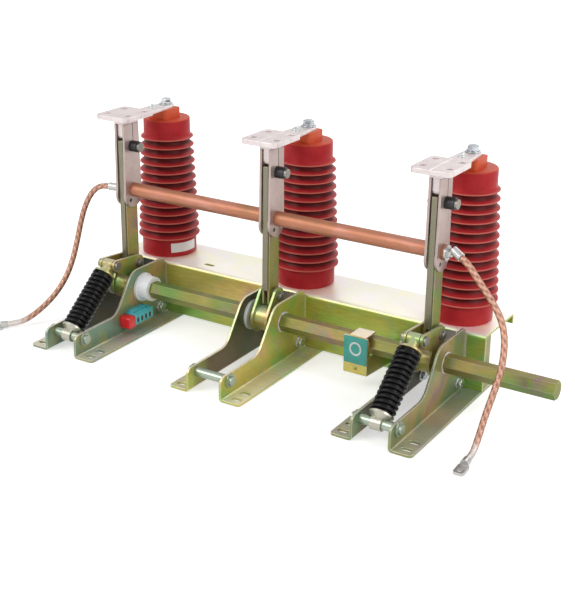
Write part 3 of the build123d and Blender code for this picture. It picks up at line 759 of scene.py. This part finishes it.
def drilled_plate(x):
    """Rounded plate with four round holes: rings of quads between each hole and its quarter of the plate.

    A ray from the hole's centre ends where it meets the quarter's box, or the arc of the plate's corner."""
    low, high = np.array([x - PLATE_HALF, PLATE_FRONT]), np.array([x + PLATE_HALF, PLATE_REAR])
    middle = np.array([x, HOLES_Y])
    ray = unit(np.linspace(0, 2 * pi, 49)[:-1] + pi / 4)
    parts = []
    for way in ((-1, -1), (-1, 1), (1, -1), (1, 1)):
        way = np.array(way)
        centre = middle + way * HOLE_PITCH / 2
        box_low = np.where(way < 0, low, middle)
        box_high = np.where(way < 0, middle, high)
        with np.errstate(divide="ignore"):
            reach = np.where(ray > 0, (box_high - centre) / ray, (box_low - centre) / ray)
        outer = centre + ray * reach.min(1)[:, None]
        corner = np.where(way < 0, low, high)
        near = (np.abs(outer - corner) < PLATE_CORNER).all(1)
        hub = corner - way * PLATE_CORNER
        away = outer[near] - hub
        outer[near] = hub + away / np.linalg.norm(away, axis=1)[:, None] * PLATE_CORNER
        inner = centre + ray * HOLE_RADIUS
        bevel = centre + ray * (HOLE_RADIUS + 0.5 * MM)
        seam = (np.abs(outer - middle) < 1e-6).any(1)
        crown = np.where(seam[:, None], outer, centre + (outer - centre) * 0.985)
        rims = []
        for flat, z in (
            (inner, PLATE_LOW), (outer, PLATE_LOW), (outer, PLATE_HIGH - np.where(seam, 0.0, 0.6 * MM)),
            (crown, PLATE_HIGH), (bevel, PLATE_HIGH), (inner, PLATE_HIGH - 0.5 * MM),
        ):
            rims.append(np.column_stack([flat, np.broadcast_to(z, len(flat))]))
        parts.append((np.array(rims), grid_faces(len(rims), len(ray), wrap_rows=True, wrap_columns=True)))
    return parts


def blade_outline():
    """Side view of a blade: arc on top, straight edges, and a drooping round end below the bar."""
    y = np.linspace(BLADE_REAR, BLADE_FRONT, 14)
    turn = np.linspace(radians(160), radians(380), 34)
    return np.concatenate([np.column_stack([y, swing_height(y)]), BLADE_END + BLADE_END_RADIUS * unit(turn)])


def contacts():
    """Terminal and pair of blades of each phase."""
    for number, x in enumerate(PHASES, start=1):
        parts = [terminal_neck(x), terminal_wedge(x), terminal_tongue(x), *drilled_plate(x)]
        top = piece(f"terminal_{number}", parts, silvered_casting, "root", angle=35)
        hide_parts(f"fixed_contact_{number}")
        sides = []
        for low, high in ((-BLADE_OUTER, -BLADE_INNER), (BLADE_INNER, BLADE_OUTER)):
            sides.append(slab(blade_outline(), "x", x + low, x + high, 0.5 * MM))
        strip = piece(f"blade_pair_{number}", sides, silvered_copper, "rotor", angle=35)
        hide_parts(f"blades_{number}")


def arm_strips():
    """Flat strip between the two blades, from the arm up to just under the terminal's wedge."""
    outline = rounded_box(STRIP_LOW, STRIP_HIGH, 1.5 * MM)
    for number, x in enumerate(PHASES, start=1):
        strip = slab(outline, "x", x - STRIP_HALF, x + STRIP_HALF, 0.4 * MM)
        piece(f"arm_strip_{number}", [strip], strip_metal, "rotor", angle=35)


def blade_marks():
    """On the blades' outer faces: a slit and, under the bar, an open hole, both as dark sheets of painted
    shade, and a small screw.
    """
    slit = rounded_box((0.0121, CLAMP_Z + 5 * MM), (0.0133, swing_height(0.013) - 0.4 * MM), 0.4 * MM)
    hole = rounded_box((0.0010, 0.1735), (0.0064, 0.1789), 2.6 * MM)
    slits, holes, screws = [], [], []
    for x in PHASES:
        for side in (-1, 1):
            face = x + side * (BLADE_OUTER + 0.04 * MM)
            low, high = sorted((face, face - side * 0.3 * MM))
            slits.append(slab(slit, "x", low, high, 0.1 * MM))
            holes.append(slab(hole, "x", low, high, 0.1 * MM))
            knob = [(r * MM, side * h * MM) for r, h in BLADE_SCREW]
            screws.append(turned(knob, (face, 0.0195, 0.1765), axis="x", around=20))
    piece("blade_slit_shade", slits + holes, painted_hole_shade, "rotor", smooth=False)
    piece("blade_screws", screws, silvered_copper, "rotor")


contacts()
arm_strips()
blade_marks()


# Springs

PIN = np.array([0.0, -0.124, 0.022])
CRANK_PIN = np.array([0.0, -0.036, 0.094])
SPRING_AXIS = (CRANK_PIN - PIN) / np.linalg.norm(CRANK_PIN - PIN)
SPRING_FOOT, SPRING_HEAD, OPEN_HEAD = 11.0 * MM, 96.2 * MM, 65.5 * MM
WIRE, COIL_OUTER, COIL_TURNS = 4.5 * MM, 31.0 * MM, 12.6
TUBE_RADIUS = 11.6 * MM


def coil(x):
    """Closed and ground compression spring: a helix whose pitch shrinks to the wire's own size at both ends.

    What would stand past either end plane is pushed back onto it."""
    length = SPRING_HEAD - SPRING_FOOT
    turn = np.linspace(0, 1, 700) * COIL_TURNS
    climb = np.minimum(np.minimum(turn, COIL_TURNS - turn), 1.0)
    rate = WIRE * 0.9 + climb**2 * (3 - 2 * climb) * 2.7 * MM
    height = np.concatenate([[0], np.cumsum((rate[1:] + rate[:-1]) / 2 * np.diff(turn))])
    height = WIRE * 0.45 + height / height[-1] * (length - WIRE * 0.9)
    side = np.array([1.0, 0.0, 0.0])
    across = unit(2 * pi * turn + 0.6) @ np.array([side, np.cross(SPRING_AXIS, side)])
    middle = PIN + (x, 0, 0) + SPRING_AXIS * (SPRING_FOOT + height)[:, None]
    points, faces = carried(middle + (COIL_OUTER - WIRE) / 2 * across, circle(WIRE / 2, 12))
    along = (points - PIN) @ SPRING_AXIS
    over = np.maximum(along - SPRING_HEAD, 0) + np.minimum(along - SPRING_FOOT, 0)
    return points - over[..., None] * SPRING_AXIS, faces


def telescope(x):
    """Dark tube inside the coil that hides the gap between the two spigots; its black is painted shade seen
    through the coils.
    """
    along = np.linspace(SPRING_FOOT + 0.2 * MM, SPRING_HEAD - 0.2 * MM, 24)
    return carried(PIN + (x, 0, 0) + SPRING_AXIS * along[:, None], circle(TUBE_RADIUS, 28))


for side_name, x in SIDES:
    guide = f"lower_guide_{side_name}_body"
    spring = piece(f"coil_{side_name}", [coil(x), telescope(x)], spring_steel, guide)
    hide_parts(f"spring_{side_name}")
    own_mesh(spring)


# Braids, with routes in millimetres

LEFT_ROUTE = (
    (-262.0, 9.0, 188.0), (-275.0, 8.0, 187.5), (-287.0, 6.0, 180.5), (-296.0, 3.0, 168.0),
    (-302.5, -1.0, 150.0), (-306.5, -6.0, 128.0), (-308.0, -13.0, 104.0), (-308.5, -24.0, 79.0),
    (-311.0, -38.0, 56.0), (-317.0, -55.0, 36.0), (-326.0, -74.0, 20.0), (-336.0, -92.0, 8.5),
    (-344.0, -103.0, 5.5), (-352.0, -114.0, 5.5),
)
RIGHT_ROUTE = (
    (262.0, 9.0, 188.0), (273.0, 6.5, 182.0), (284.0, 3.0, 171.0), (296.0, 0.0, 159.5),
    (308.0, -3.5, 148.5), (319.5, -8.0, 137.0), (329.5, -14.0, 122.0), (336.0, -24.0, 104.0),
    (339.5, -37.0, 84.0), (339.0, -53.0, 62.0), (337.5, -70.0, 40.0), (338.0, -86.0, 21.0),
    (338.5, -99.0, 8.5), (339.0, -108.0, 5.5), (339.5, -119.0, 5.5),
)
BRAID_DIAMETER = 8.0 * MM
CARRIERS, LAY = 8, 31.0 * MM
RIBBON_WIRES, RIBBON_WIDTH, RIBBON_THICK = 4, 2.25 * MM, 0.62 * MM
FLECK_PITCH = 10.5 * MM
LINE_POINTS = 340


def route_line(name, route):
    """Points along the smooth NURBS line through a route, evenly spaced, and its length."""
    curve = bpy.data.curves.new(name, "CURVE")
    curve.dimensions = "3D"
    curve.resolution_u = 40
    spline = curve.splines.new("NURBS")
    spline.points.add(len(route) - 1)
    for point, spot in zip(spline.points, route):
        point.co = (*(MM * s for s in spot), 1.0)
    spline.order_u = 3
    spline.use_endpoint_u = True
    carrier = bpy.data.objects.new(name, curve)
    bpy.context.scene.collection.objects.link(carrier)
    mesh = bpy.data.meshes.new_from_object(carrier)
    line = mesh_points(mesh)
    bpy.data.objects.remove(carrier)
    bpy.data.meshes.remove(mesh)
    gone = np.concatenate([[0], np.cumsum(np.linalg.norm(np.diff(line, axis=0), axis=1))])
    even = np.linspace(0, gone[-1], LINE_POINTS)
    return np.column_stack([np.interp(even, gone, line[:, k]) for k in range(3)]), gone[-1]


def ribbon_section():
    """Section of a ribbon of wires: humps on top from the size of a sine, and a flat underside."""
    across = np.linspace(-0.5, 0.5, 9)
    crest = RIBBON_THICK / 2 * (0.72 + 0.28 * np.abs(np.sin(pi * RIBBON_WIRES * (across + 0.5))))
    top = np.column_stack([across * RIBBON_WIDTH, crest * np.sqrt(np.clip(1.08 - (2 * across) ** 4, 0, 1))])
    back = across[::-1][1:-1]
    bottom = np.column_stack([back * RIBBON_WIDTH, np.full(len(back), -RIBBON_THICK / 2)])
    return np.concatenate([top, bottom])


def woven(line, length):
    """Round two-over two-under braid: ribbons of four wires wind both ways round a core.

    A ribbon's angle grows or falls with the length, and its radius swings by a cosine of the number of
    ribbons it has crossed, so that each passes over two and under two."""
    _, normal, binormal = frames_along(line)
    run = np.linspace(0, length, len(line))
    crossed = 2 * CARRIERS * run / LAY
    wide, up = ribbon_section().T[..., None]
    parts = []
    for hand in (1, -1):
        for k in range(CARRIERS):
            angle = 2 * pi * (hand * run / LAY + k / CARRIERS)
            lift = hand * np.cos(2 * pi * (2 * k + hand * crossed - 0.5) / 4)
            radius = BRAID_DIAMETER / 2 - 0.72 * MM + 0.40 * MM * lift
            out = np.cos(angle)[:, None] * normal + np.sin(angle)[:, None] * binormal
            path = line + out * radius[:, None]
            ahead = np.gradient(path, axis=0)
            ahead /= np.linalg.norm(ahead, axis=1)[:, None]
            sideways = np.cross(ahead, out)
            sideways /= np.linalg.norm(sideways, axis=1)[:, None]
            parts.append(shell(path[:, None] + wide * sideways[:, None] + up * out[:, None]))
    parts.append(carried(line[::4], circle(BRAID_DIAMETER / 2 - 1.1 * MM, 14)))
    return parts


def braid(side_name, route):
    """A braid from its route: woven mesh, painted shade between its ribbons, flecked, tinned near the far
    lug.

    The flecks are two cosines of the angle round the braid and of the way along it, one for each hand."""
    line, length = route_line(f"line_{side_name}", route)
    parts = woven(line, length)
    obj = piece(f"woven_braid_{side_name}", parts, braid_copper, None, angle=70.0)
    points = mesh_points(obj.data)
    stations = line[::10]
    distance = np.linalg.norm(points[:, None, :] - stations[None], axis=2)
    spot = distance.argmin(1)
    # Painted shade: points nearer the core, between the ribbons, get a lower value.
    height = np.clip((distance.min(1) - 2.9 * MM) / (1.0 * MM), 0, 1)
    share = spot / (len(stations) - 1)
    away = points - stations[spot]
    tangent, normal, binormal = ((away * lane[::10][spot]).sum(1) for lane in frames_along(line))
    turn = 3 * np.arctan2(binormal, normal)
    along = 2 * pi * (share * length + tangent) / FLECK_PITCH
    fleck = 0.5 + 0.34 * np.cos(turn + along) + 0.16 * np.cos(turn - along)
    float_attribute(obj, "shade_and_fleck", np.clip(0.30 * height + 0.85 * fleck - 0.10, 0, 1))
    float_attribute(obj, "tinned", np.clip((share - 0.90) / 0.08, 0, 0.85))
    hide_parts(f"braid_{side_name}")
    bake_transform(obj)


braid("left", LEFT_ROUTE)
braid("right", RIGHT_ROUTE)


# Indicator, label and connector

FACE_X, FACE_Y = 0.1425, -19.0 * MM
RING_RADIUS, RING_HALF, RING_AROUND = 7.3 * MM, 1.15 * MM, 48
RIVET = [(0, -1.6), (1.2, -1.5), (2.2, -0.9), (2.6, -0.1), (2.6, 0.3), (0, 0.3)]
CONNECTOR_X = -0.204


def indicator_face():
    """Enamelled face on the indicator's front, with a ring on it and a rivet below."""
    points, faces = slab(rounded_box((0.1262, 0.0335), (0.1585, 0.0693), 0.0012), "y", -0.0006, 0.0, 0.0002)
    piece("indicator_face", [(points + (0, FACE_Y, 0), faces)], teal_enamel, "root", angle=30)
    centre = np.array([FACE_X, FACE_Y - 0.0006, 0.0535])
    lanes = np.array([(-1, 0.0), (-1, -0.35), (0, -0.5), (1, -0.35), (1, 0.0)])
    flat = (RING_RADIUS + lanes[:, 0][:, None, None] * RING_HALF) * circle(1.0, RING_AROUND)
    raised = np.broadcast_to(lanes[:, 1][:, None] * MM, flat.shape[:2])
    ring = centre + np.stack([flat[..., 0], raised, 1.08 * flat[..., 1]], -1)
    loop = grid_faces(len(lanes), RING_AROUND, wrap_rows=True, wrap_columns=True)
    piece("indicator_ring", [(ring, loop)], white_enamel, "root")
    rivet = turned(np.array(RIVET) * MM, (FACE_X, FACE_Y, 0.0275), axis="y", around=24)
    piece("indicator_rivet", [rivet], small_plated, "root")


def base_label():
    """Bare foil label, bent round the base of the left insulator."""
    turn = unit(np.linspace(radians(-50.0), radians(12.0), 26))
    rows = []
    for height, lift in ((7.0, -0.2), (7.0, 0.15), (20.5, 0.15), (20.5, -0.2)):
        flat = (PHASES[0], INSULATOR_Y) + (BASE_RADIUS + 0.25 + lift) * MM * turn
        rows.append(np.column_stack([flat, np.full(len(flat), height * MM + BEAM_TOP)]))
    label = (np.array(rows), grid_faces(len(rows), len(turn), wrap_rows=True))
    piece("base_label", [label], label_foil, "root", smooth=False)


def sideways_block(low, high, radius, near, far, edge):
    """Rounded block against the left bracket, between two distances in millimetres from its side plate."""
    outline = rounded_box(low, high, radius * MM)
    return slab(outline, "x", CONNECTOR_X + near * MM, CONNECTOR_X + far * MM, edge * MM)


def connector():
    """Small terminal block on the left bracket: a housing with openings drawn as dark sheets of painted
    shade, and a plug at its front end.
    """
    housing = sideways_block((-0.0380, 0.0150), (0.0010, 0.0305), 1.0, 0.0, 16.5, 0.6)
    cover = sideways_block((-0.0345, 0.0265), (-0.0030, 0.0325), 0.8, 0.0, 10.0, 0.5)
    block = piece("connector_housing", [housing, cover], cyan_plastic, "root", angle=30)
    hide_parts("connector_base")
    plug = sideways_block((-0.0520, 0.0130), (-0.0375, 0.0290), 2.2, 0.0, 17.5, 1.6)
    cap = piece("connector_cap", [plug], red_plastic, "root", angle=50)
    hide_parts("connector_plug")
    openings = []
    for y in (-0.0320, -0.0235, -0.0150, -0.0065):
        openings.append(sideways_block((y - 0.0022, 0.0175), (y + 0.0022, 0.0245), 0.7, 16.4, 16.55, 0.03))
        openings.append(sideways_block((y - 0.0016, 0.0272), (y + 0.0016, 0.0312), 0.6, 9.9, 10.05, 0.03))
    piece("connector_opening_shade", openings, painted_hole_shade, "root", smooth=False)


indicator_face()
base_label()
connector()


# Small fasteners, with profiles in millimetres

TONGUE_SCREW = [(0, 4.2), (2.6, 4.2), (3.4, 3.6), (3.6, 1.2), (5.0, 1.1), (5.2, 0.8), (5.2, 0.05), (0, 0.05)]
WASHERS = [
    (0, 0), (9.4, 0.0), (9.8, 0.3), (9.8, 1.2), (9.4, 1.5), (7.2, 1.5), (7.2, 1.7), (7.4, 1.9), (7.4, 2.8),
    (7.1, 3.1), (0, 3.1),
]
HEAD_FLATS, HEAD_HEIGHT = 13.0 * MM, 5.2 * MM


def contact_screws():
    """Small screw on each tongue, in front of the main bolt."""
    profile = np.array(TONGUE_SCREW) * MM
    parts = [turned(profile, (x - 2.0 * MM, 0.0700, TONGUE_HIGH), around=28) for x in PHASES]
    piece("tongue_screws", parts, bright_zinc, "root")


def hex_head(centre, turn):
    """Bolt head: a hexagon whose upper corners are cut back by a cone, flat on top."""
    rows = []
    for level, reach in ((0.0, 1.0), (0.72, 1.0), (1.0, 0.86)):
        rows.append(np.column_stack([hexagon(HEAD_FLATS * reach, turn), np.full(6, HEAD_HEIGHT * level)]))
    points, faces = shell(rows)
    return points + np.asarray(centre), faces


def terminal_heads():
    """Main bolt of each tongue: plain washer, spring washer and a tall hexagon head."""
    parts = []
    for turn, x in enumerate(PHASES):
        parts.append(turned(np.array(WASHERS) * MM, (x, INSULATOR_Y, TONGUE_HIGH), around=40))
        parts.append(hex_head((x, INSULATOR_Y, TONGUE_HIGH + 3.0 * MM), 0.35 * turn))
    heads = piece("terminal_heads", parts, bolt_zinc, "root", angle=30)
    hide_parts("terminal_bolts")


contact_screws()
terminal_heads()


# Floor, lights and camera

FLOOR_REACH, FLOOR_DROP = 12.0, 0.0005
LAMPS = (
    ("key", (-1.3, -2.0, 1.9), (0.0, 0.0, 0.12), 1.3, 34.0),
    ("side", (2.0, -0.3, 1.2), (0.0, 0.0, 0.15), 1.1, 15.0),
    ("rear", (0.4, 1.9, 1.6), (0.0, 0.0, 0.15), 1.2, 12.0),
)
CAMERA_SPOT = (0.78007, -1.21480, 0.65523)
YAW, PITCH, ROLL = radians(31.64), radians(21.6), radians(0.69)
FOCAL_PIXELS, LONG_SIDE_PIXELS, SENSOR = 1202.67, 596, 36.0


def seen_directly(tree):
    """One for rays from the camera, mirrored rays and rays let through, nothing for the rest."""
    seen = tree.nodes.new("ShaderNodeLightPath").outputs
    direct = maths(tree, "MAXIMUM", seen["Is Camera Ray"], seen["Is Glossy Ray"])
    return maths(tree, "MAXIMUM", direct, seen["Is Transmission Ray"])


def pale_floor():
    """Floor that glows where it is seen directly, from half strength near the part to full far away."""
    r = FLOOR_REACH
    mesh = bpy.data.meshes.new("floor")
    mesh.from_pydata([(-r, -r, 0), (r, -r, 0), (r, r, 0), (-r, r, 0)], [], [(0, 1, 2, 3)])
    floor = bpy.data.objects.new("floor", mesh)
    bpy.context.scene.collection.objects.link(floor)
    floor.location.z = -FLOOR_DROP
    material, tree, shader, spot = new_material("pale_floor")
    far = add(tree, "ShaderNodeVectorMath", operation="LENGTH", in_0=spot).outputs["Value"]
    glow = times(tree, seen_directly(tree), stretched(tree, far, 0.45, 1.6, 0.52, 1.0))
    feed(tree, shader["Base Color"], (0.80, 0.80, 0.80))
    feed(tree, shader["Roughness"], 0.9)
    feed(tree, shader["Emission Color"], (1, 1, 1))
    feed(tree, shader["Emission Strength"], glow)
    mesh.materials.append(material)


def surround():
    """White surround, at half strength for light that isn't seen directly."""
    world = bpy.data.worlds.new("surround")
    bpy.context.scene.world = world
    world.use_nodes = True
    tree = world.node_tree
    back = tree.nodes["Background"].inputs
    feed(tree, back["Color"], (1, 1, 1))
    feed(tree, back["Strength"], maths(tree, "ADD", times(tree, seen_directly(tree), 0.52), 0.48))


def lamps():
    """A soft key from the left front, a weaker one from the right and a third from behind."""
    for name, spot, aim, size, power in LAMPS:
        lamp = bpy.data.lights.new(name, "AREA")
        lamp.size = size
        lamp.energy = power
        light = bpy.data.objects.new(name, lamp)
        bpy.context.scene.collection.objects.link(light)
        light.location = spot
        light.rotation_euler = (Vector(aim) - Vector(spot)).to_track_quat("-Z", "Y").to_euler()


def photo_camera():
    """Camera of the solved view, its focal length given in pixels of the picture."""
    forward = Vector((-sin(YAW) * cos(PITCH), cos(YAW) * cos(PITCH), -sin(PITCH)))
    level = Vector((cos(YAW), sin(YAW), 0))
    up = level.cross(forward)
    right = cos(ROLL) * level + sin(ROLL) * up
    top = -sin(ROLL) * level + cos(ROLL) * up
    data = bpy.data.cameras.new("photo_view")
    data.sensor_width = SENSOR
    data.lens = FOCAL_PIXELS / LONG_SIDE_PIXELS * SENSOR
    data.clip_start, data.clip_end = 0.05, 60.0
    camera = bpy.data.objects.new("photo_view", data)
    bpy.context.scene.collection.objects.link(camera)
    turn = Matrix((right, top, -forward)).transposed().to_4x4()
    camera.matrix_world = Matrix.Translation(CAMERA_SPOT) @ turn
    bpy.context.scene.camera = camera


pale_floor()
surround()
lamps()
photo_camera()
bpy.context.scene.view_settings.view_transform = "Standard"
